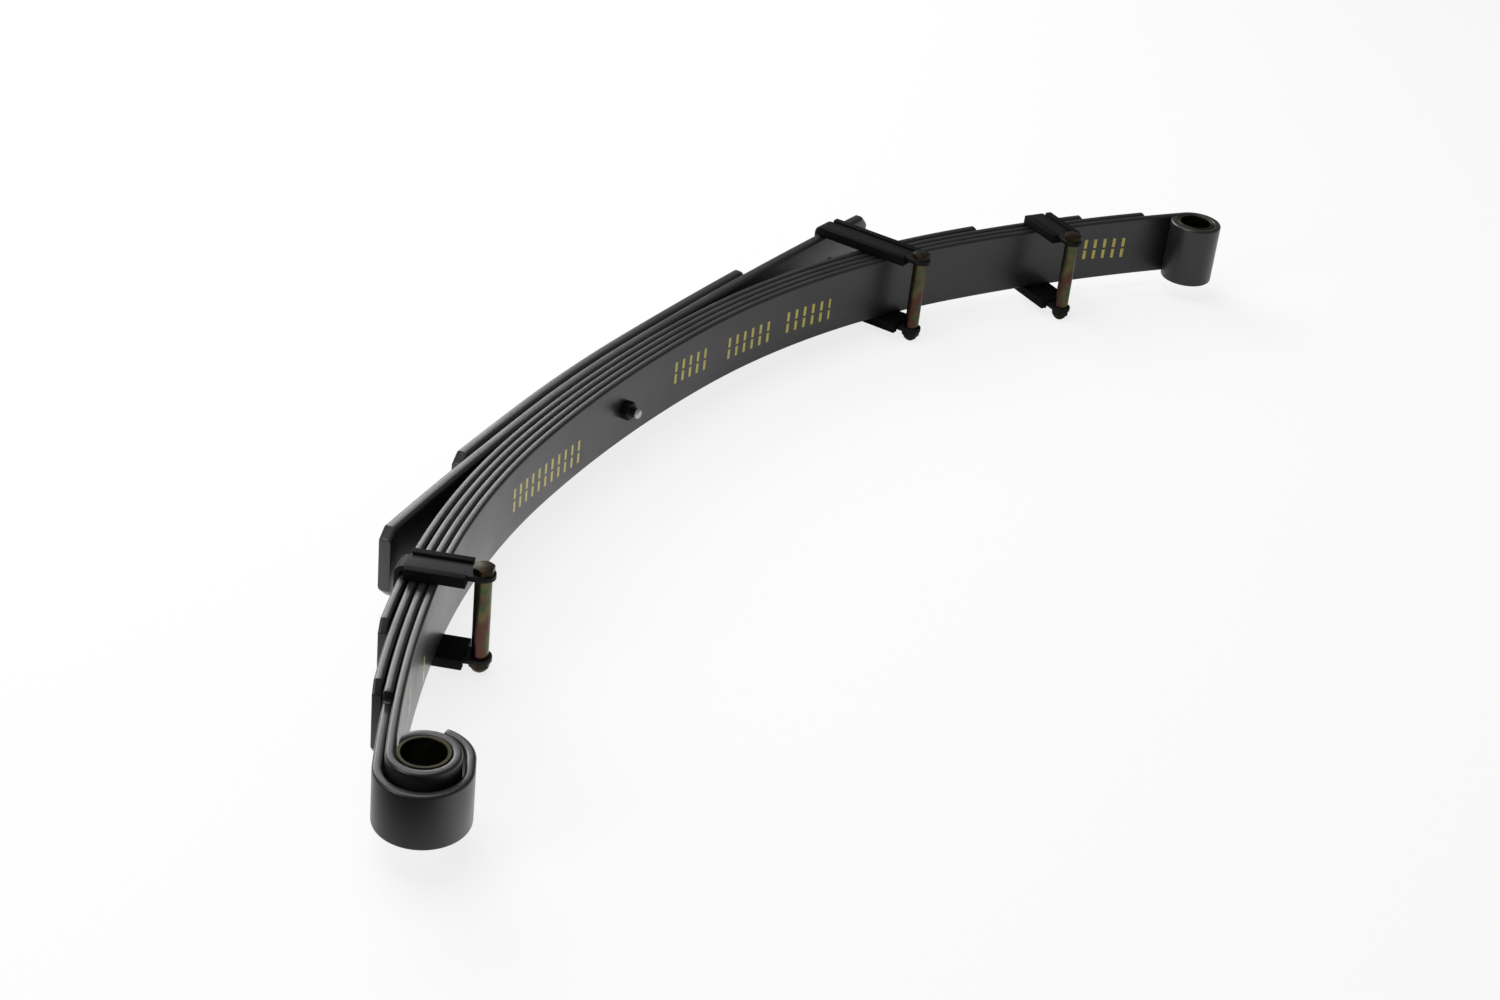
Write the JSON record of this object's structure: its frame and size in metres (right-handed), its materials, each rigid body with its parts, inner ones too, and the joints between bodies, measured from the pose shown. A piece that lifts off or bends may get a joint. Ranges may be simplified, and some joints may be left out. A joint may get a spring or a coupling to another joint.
{
  "type": "leaf spring",
  "caption": "Multi-leaf vehicle suspension spring: curved stack with rolled eyes, a wrapped front eye, helper leaves and bolted rebound clips.",
  "frame": {"origin": "where the centre bolt's dowel head leaves the outermost helper leaf's convex face, at mid width", "axes": "+X along the spring towards the rear eye, +Y out of the convex side along the centre bolt, +Z across the leaves along both eye axes; the spring lies on its edge"},
  "size_m": [1.4452, 0.4, 0.104],
  "materials": {
    "leaf_paint": "satin black powder coat",
    "clip_paint": "satin black powder coat",
    "bolt_paint": "satin black powder coat over a plated bolt",
    "bush_steel": "drawn steel sleeve, oiled",
    "liner_plastic": "matt black moulded nylon",
    "yellow_zinc": "yellow iridescent zinc passivate"
  },
  "bodies": {
    "centre": {"main_leaf": "leaf_paint", "wrapper_leaf": "leaf_paint", "third_leaf": "leaf_paint", "fourth_leaf": "leaf_paint", "long_helper_leaf": "leaf_paint", "short_helper_leaf": "leaf_paint", "centre_bolt": "bolt_paint", "centre_nut": "bolt_paint", "middle_clip_strap": "clip_paint", "middle_clip_rivet": "clip_paint", "middle_clip_upper_liner": "liner_plastic", "middle_clip_lower_liner": "liner_plastic", "middle_clip_bolt": "yellow_zinc", "middle_clip_tube": "yellow_zinc", "middle_clip_nut": "yellow_zinc"},
    "front_arm": {"front_eye_bush": "bush_steel"},
    "rear_arm": {"rear_eye_bush": "bush_steel"},
    "front_clip": {"front_clip_strap": "clip_paint", "front_clip_rivet": "clip_paint", "front_clip_upper_liner": "liner_plastic", "front_clip_lower_liner": "liner_plastic", "front_clip_bolt": "yellow_zinc", "front_clip_tube": "yellow_zinc", "front_clip_nut": "yellow_zinc"},
    "rear_clip": {"rear_clip_strap": "clip_paint", "rear_clip_rivet": "clip_paint", "rear_clip_upper_liner": "liner_plastic", "rear_clip_lower_liner": "liner_plastic", "rear_clip_bolt": "yellow_zinc", "rear_clip_tube": "yellow_zinc", "rear_clip_nut": "yellow_zinc"}
  },
  "joints": [
    {"name": "front_flex", "type": "hinge", "parent": "centre", "child": "front_arm", "pos_m": [-0.1651, -0.0605, 0], "axis": [0, 0, -1], "range_deg": [-2, 11], "stiffness_Nm_per_rad": 5500, "deforming": ["main_leaf", "wrapper_leaf", "third_leaf", "fourth_leaf"]},
    {"name": "rear_flex", "type": "hinge", "parent": "centre", "child": "rear_arm", "pos_m": [0.2114, -0.0667, 0], "axis": [0, 0, 1], "range_deg": [-2, 11], "stiffness_Nm_per_rad": 4100, "deforming": ["main_leaf", "wrapper_leaf", "third_leaf", "fourth_leaf"]},
    {"name": "front_clip_follow", "type": "hinge", "parent": "centre", "child": "front_clip", "pos_m": [-0.2667, -0.0695, 0], "axis": [0, 0, -1], "range_deg": [-2.13, 11.7]},
    {"name": "rear_clip_follow", "type": "hinge", "parent": "centre", "child": "rear_clip", "pos_m": [0.3008, -0.0917, 0], "axis": [0, 0, 1], "range_deg": [-2.18, 11.98]}
  ],
  "couplings": [
    {"joint": "front_clip_follow", "follows": "front_flex", "ratio": 1.064},
    {"joint": "rear_clip_follow", "follows": "rear_flex", "ratio": 1.089}
  ]
}
